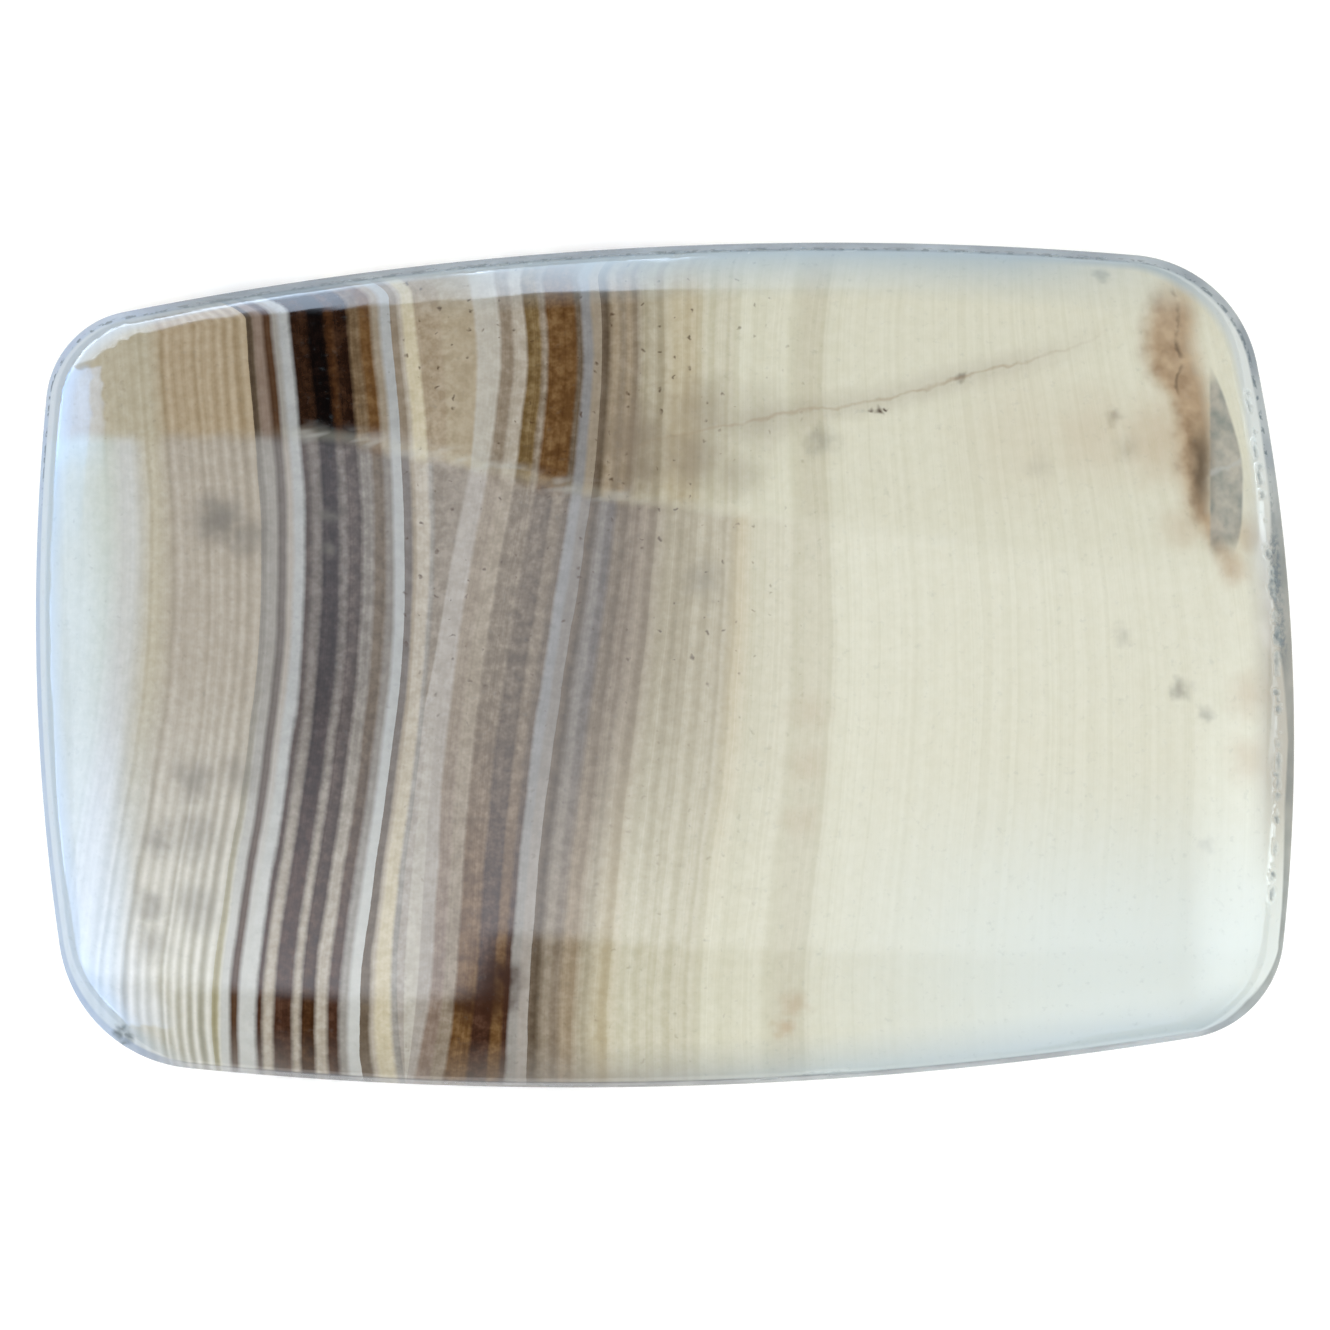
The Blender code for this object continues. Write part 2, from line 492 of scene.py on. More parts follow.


# %% [markdown]
# Agate grows layer on layer. Cut across, the layers show as bands that all follow the same bends.
# So the shader needs one number at every point that says how far through the layers it lies. The
# courses of eleven layers across the stone's face are given, and between them the number is shared
# out evenly. It equals the distance across the stone that the layer has near its top edge.
# Where the dome falls away to its top edge, the cut runs across layers that lean, so they seem to
# bend: to the left in the left half and to the right beyond.

# %% The layer number, from the courses of a few layers
STATIONS = np.array([12.0, 8.0, 4.0, 0.0, -4.0, -8.0, -12.0])
COURSES = np.array([
    (-21.5, -21.3, -21.1, -21.2, -21.6, -22.1, -22.5),
    (-18.65, -18.35, -18.2, -18.4, -19.05, -19.65, -20.0),
    (-15.75, -15.48, -15.28, -15.22, -15.82, -16.52, -16.82),
    (-12.83, -12.37, -12.22, -12.32, -12.87, -13.46, -13.9),
    (-9.43, -9.02, -8.87, -8.93, -9.4, -10.03, -10.42),
    (-8.2, -7.77, -7.67, -7.77, -8.33, -8.73, -8.9),
    (-5.77, -5.87, -6.53, -7.22, -7.6, -7.83, -8.17),
    (-2.38, -2.48, -2.88, -3.57, -4.2, -4.55, -4.85),
    (4.8, 4.73, 4.8, 5.0, 4.6, 4.2, 3.9),
    (10.7, 11.0, 11.5, 11.7, 11.5, 11.3, 11.2),
    (16.2, 17.0, 17.9, 18.35, 18.45, 18.4, 18.1),
])
READ_AT = 11.3
LEAN = (
    (-21, 0.0), (-18.5, 0.0), (-14, -2.0), (-11, -1.7), (-2.3, 1.2), (0, 1.1), (4, 0.1), (6, 0.0),
    (21, 0.0))
LEAN_STARTS, LEAN_ENDS = 2.25, 1.0

lean = course(LEAN, x)
drop = add("MapRange", {
    "Value": z, "From Min": LEAN_STARTS, "From Max": LEAN_ENDS, "To Max": LEAN_STARTS - LEAN_ENDS})
near_top = add(
    "MapRange", {"Value": y, "From Min": 4.0, "From Max": 10.0}, interpolation_type="SMOOTHSTEP")
eased_drop = add("Math", {0: drop, 1: 1.5}, operation="POWER")
shift = add("Math", {0: lean, 1: eased_drop}, operation="MULTIPLY")
shift = add("Math", {0: shift, 1: near_top}, operation="MULTIPLY")
across = add("Math", {0: x, 1: shift}, operation="SUBTRACT")

smooth_courses = [np.polyfit(STATIONS, out, 4) for out in COURSES]
heights = np.linspace(-15, 15, 9)
lines = [course(list(zip(heights, np.polyval(fit, heights))), y) for fit in smooth_courses]
numbers_read = [float(np.polyval(fit, READ_AT)) for fit in smooth_courses]
before = add("Math", {0: across, 1: lines[0]}, operation="SUBTRACT")
before = add("Math", {0: before, 1: 0.0}, operation="MINIMUM")
layer = add("Math", {0: before, 1: numbers_read[0]}, operation="ADD")
for i in range(len(lines) - 1):
    part = add("MapRange", {
        "Value": across, "From Min": lines[i], "From Max": lines[i + 1],
        "To Max": numbers_read[i + 1] - numbers_read[i]})
    layer = add("Math", {0: layer, 1: part}, operation="ADD")
beyond = add("Math", {0: across, 1: lines[-1]}, operation="SUBTRACT")
beyond = add("Math", {0: beyond, 1: 0.0}, operation="MAXIMUM")
layer = add("Math", {0: layer, 1: beyond}, operation="ADD")
print(f"layer {numbers_read[0]:.1f} to {numbers_read[-1]:.1f} mm in {len(tree.nodes)} nodes")

# %% [markdown]
# No layer in a real stone keeps exactly the same thickness. The number is nudged by a slow noise,
# stretched along the layers, and by a fine one.

# %% Nudge the layers
stretched = add("VectorMath", {0: place, 1: (1.1, 0.28, 0.5)}, operation="MULTIPLY")
wander = add("TexNoise", {"Vector": stretched, "Scale": 1.0, "Detail": 2.0})
tremble = add("TexNoise", {"Vector": place, "Scale": 3.0, "Detail": 2.0})
layer = add("Math", {0: wander.outputs[0], 1: 0.16, 2: layer}, operation="MULTIPLY_ADD")
layer = add("Math", {0: tremble.outputs[0], 1: 0.03, 2: layer}, operation="MULTIPLY_ADD")
layer = add("Math", {0: layer, 1: -0.095}, operation="ADD")

# %% [markdown]
# The bands are colour ramps side by side, each covering a stretch of layers. A list says up to
# which layer number each band goes, as it would be read off the stone with a ruler. On its way down
# the stone a layer changes: below a healed crack the brown ones are smoky, and towards the foot
# every second one turns whitish. So each band has three tones, each stretch has three ramps, and
# slow gradients down the stone mix them.

# %% The list of bands
STRETCHES = (
    # where it starts, how soft its borders are, and its bands:
    # where each ends, and its tone above the crack, below it and at the foot
    (-21.0, 0.3, (
        (-18.7, "dun", "frost", "mist"), (-17.8, "dun", "pearl", "mist"),
        (-17.0, "dun", "dun", "mist"), (-16.2, "wheat", "oat", "bone"),
        (-13.95, "wheat", "oat", "bone"))),
    (-13.95, 0.08, (
        (-13.72, "bark", "ash", "straw"), (-13.38, "rose", "ash", "pearl"),
        (-13.08, "chestnut", "mauve", "chestnut"), (-12.86, "ash", "linen", "pearl"),
        (-12.5, "milk", "milk", "pearl"), (-12.27, "umber", "soot", "cocoa"),
        (-11.93, "umber", "mauve", "oat"), (-11.32, "ink", "pitch", "cocoa"),
        (-11.08, "coffee", "mauve", "oat"), (-10.57, "umber", "soot", "coffee"),
        (-10.18, "walnut", "putty", "oat"), (-9.78, "sard", "bark", "cocoa"),
        (-9.5, "fawn", "putty", "ash"), (-9.14, "milk", "milk", "pearl"))),
    (-9.14, 0.06, (
        (-8.87, "drab", "mauve", "bark"), (-8.74, "oat", "fawn", "oat"),
        (-8.3, "cream", "oat", "cream"), (-8.08, "sand", "ash", "ash"),
        (-7.45, "sand", "linen", "linen"), (-6.3, "buff", "linen", "chalk"),
        (-5.5, "chalk", "linen", "linen"), (-5.05, "drab", "drab", "rose"),
        (-4.62, "oat", "fawn", "drab"), (-4.12, "bronze", "taupe", "sard"),
        (-3.92, "drab", "taupe", "sard"), (-3.3, "sard", "bark", "cocoa"),
        (-2.95, "sard", "taupe", "sard"), (-2.74, "bark", "bark", "cocoa"),
        (-2.42, "fog", "fog", "ash"), (-2.12, "fawn", "putty", "linen"))),
    (-2.12, 0.25, (
        (-1.85, "bark", "bark", "bark"), (-1.5, "sand", "putty", "fawn"),
        (-1.28, "fawn", "mauve", "drab"), (-1.1, "sand", "taupe", "sand"),
        (-0.85, "fawn", "taupe", "sand"), (-0.4, "dun", "drab", "dun"),
        (0.1, "dun", "fawn", "cream"), (1.2, "cream", "honey", "straw"),
        (1.9, "straw", "dun", "straw"), (2.4, "straw", "dun", "straw"),
        (2.8, "ivory", "cream", "ivory"), (4.4, "ivory", "straw", "ivory"),
        (5.3, "straw", "straw", "straw"), (21.0, "ivory", "ivory", "ivory"))),
)
SMOKY_BELOW = (
    (-21, 7.8), (-12, 7.8), (-9, 7.4), (-5.5, 6.6), (-2.8, 6.0), (-0.5, 5.7), (4.5, 5.2), (21, 4.8))


def banded(start, softness, bands, column):
    """The colour of a stretch at the layer number: the number is scaled to the stretch, and each
    tone holds in the ramp from just after one border to just before the next."""
    end = bands[-1][0]
    scaled = add("MapRange", {"Value": layer, "From Min": start, "From Max": end})
    ramp = add("ValToRGB", {0: scaled})
    stops = []
    border = start
    for band in bands:
        gap = min(softness, (band[0] - border) * 0.4)
        stops += [(border + gap, band[column]), (band[0] - gap, band[column])]
        border = band[0]
    elements = ramp.color_ramp.elements
    while len(elements) < len(stops):
        elements.new(1.0)
    for element, (number, name) in zip(elements, stops):
        element.position = (number - start) / (end - start)
        element.color = tone(name)
    return ramp.outputs[0]


patch = add("TexNoise", {"Vector": place, "Scale": 0.5, "Detail": 2.0})
lowered = add("Math", {0: patch.outputs[0], 1: 0.8, 2: y}, operation="MULTIPLY_ADD")
lowered = add("Math", {0: lowered, 1: -0.4}, operation="ADD")
under = add("Math", {0: lowered, 1: course(SMOKY_BELOW, x)}, operation="SUBTRACT")
smoky, pale = [
    add("MapRange", {"Value": value, "From Min": first, "From Max": last},
        interpolation_type="SMOOTHSTEP")
    for value, first, last in ((under, 0.0, -0.6), (lowered, 1.0, -11.8))]
colour = None
for start, softness, bands in STRETCHES:
    above, below, foot = [banded(start, softness, bands, column) for column in (1, 2, 3)]
    stretch = add("Mix", {0: smoky, 6: above, 7: below}, data_type="RGBA")
    stretch = add("Mix", {0: pale, 6: stretch, 7: foot}, data_type="RGBA")
    if colour:
        past = add("Math", {0: layer, 1: start}, operation="GREATER_THAN")
        stretch = add("Mix", {0: past, 6: colour, 7: stretch}, data_type="RGBA")
    colour = stretch


def inside(value, left_side, right_side, softness):
    """A mask between two sides, that eases to 0 over the softness outside each."""
    mask = None
    for side, sign in ((left_side, 1), (right_side, -1)):
        past_side = add("Math", {0: value, 1: side}, operation="SUBTRACT")
        outer, inner = -sign * softness, sign * softness
        eased = add("MapRange", {"Value": past_side, "From Min": outer, "From Max": inner},
                    interpolation_type="SMOOTHSTEP")
        mask = add("Math", {0: mask, 1: eased}, operation="MULTIPLY") if mask else eased
    return mask


# %% [markdown]
# Most marks on the stone are a tone laid over what is there, where a few conditions meet: near the
# top edge, say, and above the wall. Each condition is a mask from 0 to 1, and multiplied they say
# how much of the tone shows. The first such mark is a wedge that the smoke has darkened, between
# two layers that drift apart towards the top.

# %% Tones laid over the colour, and the dark wedge


def painted(colour, coats):
    """The colour under its coats, one after another. A coat is a tone's name, or a mix of tones,
    and its masks."""
    for tint, *masks in coats:
        amount = masks[0]
        for mask in masks[1:]:
            amount = add("Math", {0: amount, 1: mask}, operation="MULTIPLY")
        tint = tone(tint) if isinstance(tint, str) else tint
        colour = add("Mix", {0: amount, 6: colour, 7: tint}, data_type="RGBA").outputs[2]
    return colour


WEDGE = ((8.0, -6.2), (6.4, -6.3), (3.75, -6.7), (0.1, -7.5), (-1.5, -8.2))
colour = painted(colour, [("taupe", inside(layer, -8.15, course(WEDGE, y), 0.15), smoky, 0.7)])

# %% [markdown]
# Between the strong bands run finer ones, in two ranks. The clearer lines are listed by layer
# number and strength; those in the left part get stronger towards the foot. The rest are hair-fine:
# a one-dimensional noise read at the layer number, so each follows its layer from end to end. Where
# a layer is denser it swallows more light, so all of them raise the colour to a power: milk hardly
# changes with it, and honey turns brown.

# %% Fine layers as density
LINE_MARGIN = 0.15
LEFT_LINES = (
    (-18.95, 0.12), (-18.65, 0.15), (-18.45, 0.15), (-17.78, 0.3), (-17.52, 0.35), (-17.15, 0.3),
    (-16.8, 0.8), (-16.4, 0.5), (-16.1, 0.45), (-15.68, 0.6), (-15.45, 0.45), (-15.09, 0.6),
    (-14.71, 0.75), (-14.32, 0.9), (-13.86, 0.7))
RIGHT_LINES = (
    (-1.93, 0.6), (-1.4, 0.5), (-1.0, 0.8), (-0.63, 0.7), (-0.12, 0.8), (0.4, 0.5), (0.74, 0.6),
    (1.14, 0.5), (1.57, 0.6), (2.1, 0.4), (2.32, 0.5), (3.03, 0.4), (4.5, 0.4), (5.2, 0.4),
    (5.75, 0.3))
LEFT_STRENGTH = (
    (-13, 1.6), (-11, 1.3), (-9, 1.0), (-5, 0.6), (-1.5, 0.25), (4, 0.25), (8, 0.33), (14, 0.33))
HAIR_DENSITY = (
    (-21, 0.03), (-18.5, 0.05), (-14, 0.08), (-13.2, 0.1), (-12.9, 0.02), (-12.6, 0.02),
    (-12.2, 0.06), (-9.8, 0.06), (-9.4, 0.02), (-8.8, 0.05), (-6.4, 0.03), (-5.3, 0.07),
    (-2.8, 0.07), (-2.5, 0.02), (-2.0, 0.08), (2, 0.1), (6, 0.09), (21, 0.08))


def lined(lines):
    """1 on a line of full strength and 0 halfway to the next, eased: a ramp with a stop on each
    line and a stop in each gap."""
    places = [number for number, strength in lines]
    first, last = places[0] - LINE_MARGIN, places[-1] + LINE_MARGIN
    gaps = [(a + b) / 2 for a, b in zip(places, places[1:])]
    stops = sorted([*lines, *((gap, 0.0) for gap in gaps), (first, 0.0), (last, 0.0)])
    scaled = add("MapRange", {"Value": layer, "From Min": first, "From Max": last})
    ramp = add("ValToRGB", {0: scaled})
    ramp.color_ramp.interpolation = "EASE"
    elements = ramp.color_ramp.elements
    while len(elements) < len(stops):
        elements.new(1.0)
    for element, (number, strength) in zip(elements, stops):
        element.position = (number - first) / (last - first)
        element.color = (strength, strength, strength, 1)
    return ramp.outputs[0]


left_lines = add("Math", {0: lined(LEFT_LINES), 1: course(LEFT_STRENGTH, y)}, operation="MULTIPLY")
right_lines = add("Math", {0: lined(RIGHT_LINES), 1: 0.25}, operation="MULTIPLY")
density = add("Math", {0: left_lines, 1: right_lines}, operation="ADD")
hair = add(
    "TexNoise", {"W": layer, "Scale": 3.4, "Detail": 4.0, "Roughness": 0.75}, noise_dimensions="1D")
hairs = add("MapRange", {
    "Value": hair, "From Min": 0.3, "From Max": 0.6, "To Min": 1.0, "To Max": -0.3})
hairs = add("Math", {0: hairs, 1: course(HAIR_DENSITY, layer)}, operation="MULTIPLY")
density = add("Math", {0: density, 1: hairs}, operation="ADD")

# %% [markdown]
# The brown bands are clouded, which also is a change of density, and the whole stone has a faint
# unevenness. Where the dome drops to its top edge, the density is raised a little, which darkens the
# colour there as painted shade.

# %% Clouds, and painted shade at the top edge, as density
CLOUD_DENSITY = (
    (-21, 0.03), (-14, 0.06), (-12.9, 0.04), (-12.5, 0.08), (-9.8, 0.09), (-9.4, 0.04),
    (-8.9, 0.08), (-8, 0.12), (-6, 0.07), (-5.3, 0.1), (-2.8, 0.1), (-2.5, 0.04), (-2, 0.08),
    (0, 0.07), (3, 0.05), (21, 0.04))
clouds = add("TexNoise", {"Vector": place, "Scale": 2.6, "Detail": 2.0, "Roughness": 0.7})
cloudy = add("MapRange", {
    "Value": clouds.outputs[0], "From Min": 0.35, "From Max": 0.65, "To Min": -1.0, "To Max": 1.0})
cloudy = add("Math", {0: cloudy, 1: course(CLOUD_DENSITY, layer)}, operation="MULTIPLY")
# Painted shade: denser, so darker, where the dome drops to its top edge
painted_top_shade = add("Math", {0: drop, 1: near_top}, operation="MULTIPLY")
density = add("Math", {0: painted_top_shade, 1: 0.12, 2: density}, operation="MULTIPLY_ADD")
density = add("Math", {0: density, 1: cloudy}, operation="ADD")
density = add("Math", {0: density, 1: 0.9}, operation="ADD")
colour = add("Gamma", {0: colour, 1: density})

# %% [markdown]
# The middle of the stone is dotted with tiny pits and specks of iron. Cells scattered over the face
# hold one each, and a random number a cell says how big it is; most stay empty.

# %% Pits and specks
bent = add("TexNoise", {"Vector": place, "Scale": 4.0, "Detail": 1.0})
bent = add(
    "VectorMath", {0: bent.outputs[1], 1: (0.3, 0.3, 0.0), 2: place}, operation="MULTIPLY_ADD")
cells = add("TexVoronoi", {"Vector": bent, "Scale": 1.9}, voronoi_dimensions="2D")
cell_size = add("SeparateColor", {0: cells.outputs["Color"]})
pit_radius = add("MapRange", {
    "Value": cell_size.outputs[0], "From Min": 0.45, "From Max": 1.0, "To Max": 0.17})
pits = add("Math", {0: pit_radius, 1: cells.outputs["Distance"]}, operation="SUBTRACT")
pits = add("MapRange", {"Value": pits, "From Min": 0.0, "From Max": 0.12, "To Max": 0.75})
CROWDED = ((x, 6.0, 1.0, 0.0), (x, -9.5, -8.5, 0.2), (y, -3.0, 1.0, 0.3))
crowded = [
    add("MapRange", {"Value": value, "From Min": first, "From Max": last, "To Min": least})
    for value, first, last, least in CROWDED]
colour = painted(colour, [("chestnut", pits, *crowded)])

# %% [markdown]
# Small smoky clouds float in the stone, each at its own place, and a few places are faintly rusty.
# Every one is a soft disc around a point, frayed by noise.

# %% Smoky clouds and rusty ones
SPOTS = (
    # the tone, then for each spot: x, y, radius, strength
    ("smoke", (
        (-14.8, 4.8, 1.3, 0.75), (-13.9, 4.2, 1.1, 0.5), (-15.6, -5.7, 1.3, 0.4),
        (-15.6, -8.0, 1.3, 0.4), (-17.1, -9.3, 1.0, 0.4), (-14.2, -3.7, 1.0, 0.35),
        (-11.1, 3.8, 0.5, 0.7), (-11.2, 5.0, 0.45, 0.6), (1.3, 2.8, 1.0, 0.35),
        (5.2, 7.4, 0.8, 0.35), (14.95, 8.2, 0.45, 0.45), (15.4, 7.2, 0.7, 0.25),
        (17.2, -0.8, 0.55, 0.5), (17.9, -1.6, 0.45, 0.4), (18.1, -6.0, 0.4, 0.3),
        (-15.6, -3.8, 1.1, 0.5), (-16.8, -5.8, 0.9, 0.5), (-17.1, -8.0, 0.9, 0.5),
        (14.5, 13.0, 0.4, 0.4), (15.2, 1.0, 0.5, 0.25), (12.4, 6.6, 0.7, 0.15),
        (-10.5, 12.2, 0.3, 0.3), (9.87, 9.6, 0.25, 0.6))),
    ("drab", (
        (-1.1, 7.6, 1.8, 0.7), (-0.8, 6.6, 1.4, 0.7), (0.9, 6.8, 1.9, 0.6), (1.2, 8.4, 1.9, 0.45),
        (2.4, 6.4, 1.4, 0.35), (3.0, 8.1, 1.9, 0.3), (-1.7, 9.0, 1.0, 0.25))),
    ("cocoa", (
        (-5.8, -11.0, 1.2, 1.0), (-5.4, -10.3, 0.9, 1.0), (-6.6, -11.3, 0.8, 0.8),
        (-5.3, -11.2, 0.6, 0.7), (7.05, 8.5, 0.22, 0.9), (7.3, 8.57, 0.14, 0.9),
        (6.8, 8.47, 0.14, 0.7))),
    ("amber", (
        (4.3, -11.3, 0.7, 0.5), (3.9, -12.1, 0.5, 0.6), (4.8, -1.6, 1.0, 0.2),
        (4.7, -3.3, 1.0, 0.22), (4.5, -5.1, 0.9, 0.2), (19.5, -1.0, 1.3, 0.35),
        (19.6, -3.2, 1.3, 0.35), (18.9, 3.2, 0.9, 0.5), (17.2, 4.6, 1.2, 0.35),
        (19.4, 4.3, 0.9, 0.5), (16.5, 7.5, 2.4, 0.45), (14.2, 7.6, 2.6, 0.28),
        (12.0, 7.5, 3.5, 0.15))),
)
frayed = add("TexNoise", {"Vector": place, "Scale": 1.6, "Detail": 2.0})
fray = add("VectorMath", {0: frayed.outputs[1], 1: (0.5, 0.5, 0.5)}, operation="SUBTRACT")
fray = add("VectorMath", {0: fray, 1: (0.9, 0.9, 0.0), 2: place}, operation="MULTIPLY_ADD")
flat = add("VectorMath", {0: fray, 1: (1, 1, 0)}, operation="MULTIPLY")


def spotted(colour, name, spots):
    """The colour with soft spots of a tone: each spot is 1 at its middle, eases to 0 at its radius,
    and takes its own strength; where two overlap the stronger one counts."""
    cloud = None
    for a, b, radius, strong in spots:
        away = add("VectorMath", {0: flat, 1: (a, b, 0)}, operation="DISTANCE")
        dim = add("MapRange", {
            "Value": away.outputs["Value"], "From Min": radius, "From Max": 0.0, "To Max": strong},
            interpolation_type="SMOOTHSTEP")
        cloud = add("Math", {0: cloud, 1: dim}, operation="MAXIMUM") if cloud else dim
    return painted(colour, [(name, cloud)])


for name, spots in SPOTS:
    colour = spotted(colour, name, spots)

# %% [markdown]
# Two old cracks cross the face. One healed with white mineral: on the left it shows as a row of
# short white strokes, and on the right as a hazy white line. The other let in a little iron, so it
# is a faint rusty band with a few dark crumbs.

# %% The healed crack and the stained one
HEALED = (
    (-18.8, 7.65), (-12.1, 7.7), (-9.1, 7.3), (-5.5, 6.5), (-2.5, 5.75), (-0.8, 5.5), (4.2, 4.9),
    (8.7, 4.3), (11.2, 4.15), (14.5, 3.5), (17.7, 3.5))
STAINED = (
    (-3.0, 6.8), (0.4, 7.6), (4.5, 8.4), (7.0, 8.8), (10.2, 9.65), (12.4, 10.2), (15.2, 11.3))


def ribbon(value, middle, half_width, power=1.0):
    """A mask along a line: 1 on it, easing to 0 at half the width away from it."""
    away = add("Math", {0: value, 1: middle}, operation="SUBTRACT")
    away = add("Math", {0: away}, operation="ABSOLUTE")
    return add("MapRange", {
        "Value": away, "From Min": half_width, "From Max": 0.0, "To Max": power},
        interpolation_type="SMOOTHSTEP")


fray_y = add("SeparateXYZ", {0: fray}).outputs[1]
jagged = add("Math", {0: y, 1: fray_y}, operation="ADD")
jagged = add("Math", {0: jagged, 1: 0.5}, operation="MULTIPLY")
healed = course(HEALED, x)
strokes = add("VectorRotate", {"Vector": place, "Angle": -0.15}, rotation_type="Z_AXIS")
strokes = add("VectorMath", {0: strokes, 1: (0.9, 2.6, 1.0)}, operation="MULTIPLY")
strokes = add("TexNoise", {"Vector": strokes, "Scale": 1.0, "Detail": 1.0})
strokes = add("MapRange", {"Value": strokes.outputs[0], "From Min": 0.47, "From Max": 0.68})
fading = add("MapRange", {"Value": x, "From Min": 0.5, "From Max": -2.0, "To Min": 0.1})
from_dark = add("MapRange", {"Value": layer, "From Min": -13.6, "From Max": -12.4})
stained = course(STAINED, x)
near_end = add("MapRange", {"Value": x, "From Min": -2.0, "From Max": 5.0})
far_end = add("MapRange", {"Value": x, "From Min": 15.0, "From Max": 11.0})
colour = painted(colour, [
    ("ivory", ribbon(y, healed, 0.35, 0.16), from_dark),
    ("pearl", ribbon(y, healed, 0.55, 0.45), strokes, fading, from_dark),
    ("rose", ribbon(jagged, stained, 0.8, 0.2), near_end, far_end),
    ("rust", ribbon(jagged, stained, 0.1, 0.6), near_end, far_end, frayed.outputs[0])])

# %% [markdown]
# Near the right end an iron stain runs down through the layers, and beside it lies a thin lens of
# clear grey chalcedony. The stain's two sides are drawn as curves, and the lens fills the gap
# between a straight side and an arc. Both are mottled, because iron spreads along pores.

# %% The iron stain and the clear lens
STAIN_LEFT = (
    (13.2, 16.7), (12.0, 16.15), (10.5, 15.95), (9.6, 16.2), (8.8, 16.8), (5.5, 17.3), (4.0, 18.15),
    (2, 19.1))
STAIN_RIGHT = (
    (13.2, 17.2), (12.0, 17.6), (10.5, 17.6), (9.0, 18.1), (5.2, 18.2), (4.2, 18.6), (2.0, 19.5))
STAIN_CRACK = ((12.4, 16.95), (11.6, 17.1), (10.9, 17.0), (10.2, 17.2), (9.4, 17.05), (8.0, 17.3))
LENS_LEFT = 18.14
LENS_RIGHT = (
    (10.2, 18.0), (9.75, 18.27), (8.15, 18.87), (6.8, 19.2), (5.5, 19.23), (4.3, 19.13),
    (3.6, 18.9))
LENS_CRACK = ((18.2, 6.4), (19.3, 6.85))
fray_x = add("SeparateXYZ", {0: fray}).outputs[0]
loose_x = add("Math", {0: x, 1: fray_x}, operation="ADD")
loose_x = add("Math", {0: loose_x, 1: 0.5}, operation="MULTIPLY")
blots = add("MapRange", {"Value": frayed.outputs[0], "From Min": 0.35, "From Max": 0.68})

iron = painted(tone("amber"), [("rust", blots)])
clear = painted(tone("chalk"), [("slate", blots)])
stain = inside(loose_x, course(STAIN_LEFT, y), course(STAIN_RIGHT, y), 0.45)
core = inside(loose_x, 17.5, 18.1, 0.3)
lens = inside(x, LENS_LEFT, course(LENS_RIGHT, y), 0.06)
lens_ends = inside(y, 4.0, 9.6, 0.5)
colour = painted(colour, [
    (iron, stain, inside(y, 3.3, 12.4, 0.9), 0.85),
    (clear, lens, lens_ends, 0.85),
    ("bark", ribbon(loose_x, course(STAIN_CRACK, y), 0.12, 0.7), inside(y, 9.0, 12.4, 0.3), blots),
    ("bark", core, inside(y, 5.4, 7.8, 1.0), 0.85),
    ("pearl", ribbon(jagged, course(LENS_CRACK, x), 0.16, 0.6), lens, lens_ends, 0.85)])

# %% [markdown]
# Towards the foot on the right the colour is mixed towards white.

# %% Whiter towards the foot on the right
whiter_foot = [
    add("MapRange", {"Value": value, "From Min": first, "From Max": last},
        interpolation_type="SMOOTHSTEP")
    for value, first, last in ((y, -2.5, -10.0), (x, 2.0, 15.0))]
colour = painted(colour, [("snow", *whiter_foot, 0.9)])

# %% [markdown]
# The polish is high on the dome. The bevel and wall were left from the wheel, so they are duller,
# the back was never polished, and in the chips the broken stone is rough. The outer part of the
# bevel is painted grey: partly its ground finish, partly painted shade of the dark edge line, darker
# at the foot, with a bluish painted reflection at the left. Where the dome drops towards its edges,
# bluish grey and pale tones are mixed into the layers as painted reflection and painted shade, and
# the bevel at the left and along the top gets a bluish white painted reflection. The deepest chips
# are darkened as painted shade. Along the crest the grinding left crushed stone: a dark patch on
# the right, and broken dark dashes along the top. Agate's refractive index is 1.54, and light goes
# about a millimetre into it, which softens its shadows.
#
# A table says what each place on the stone is told by, and between which two values it fades in.

# %% The finish
inset_amount = add("Attribute", attribute_name="inset").outputs["Fac"]
chip_amount = add("Attribute", attribute_name="chip").outputs["Fac"]
CORNER_NICKS = ((-18.25, -12.25, 0.3, 0.9), (-17.95, -12.45, 0.3, 0.9))
PLACES = {
    # the value that tells the place, where it begins, where it is full, how much it is at each
    "grey": (inset_amount, 1.15, 0.85, 0.0, 1.0),
    "ground": (z, 0.7, 0.93, 0.12, 0.75),
    "uneven": (patch.outputs[0], 0.35, 0.6, 0.6, 1.0),
    "above_wall": (z, 0.8, 0.97, 0.0, 1.0),
    "left": (x, -15.5, -18.5, 0.0, 1.0),
    "right": (x, 17.0, 19.0, 0.0, 1.0),
    "top": (y, 4.0, 7.0, 0.0, 1.0),
    "below_top": (y, 7.0, 4.0, 0.0, 1.0),
    "foot": (y, -10.5, -12.0, 0.0, 1.0),
    "above_foot": (y, -7.5, -4.0, 0.0, 1.0),
    "painted_reflection_and_shade_top": (z, 2.85, 1.9, 0.0, 0.75),
    "painted_shade_and_reflection_foot": (z, 2.7, 1.65, 0.0, 0.7),
    "painted_shade_right": (z, 2.3, 1.75, 0.0, 0.85),
    "top_strip": (y, 9.0, 12.0, 0.0, 1.0),
    "top_starts": (x, -10.5, -2.0, 0.0, 1.0),
    "top_ends": (x, 17.5, 11.5, 0.0, 1.0),
    "half_pale": (x, -8.0, -2.0, 0.4, 1.0),
    "far_left": (x, -12.0, -13.5, 0.0, 1.0),
    "foot_bluish": (x, -2.0, 6.0, 0.0, 1.0),
    "right_bluish": (y, 1.0, 4.0, 0.0, 1.0),
    "unpolished": (z, 0.2, 0.05, 0.0, 0.3),
}
at = {}
for name, (value, first, last, least, most) in PLACES.items():
    at[name] = add("MapRange", {
        "Value": value, "From Min": first, "From Max": last, "To Min": least, "To Max": most})
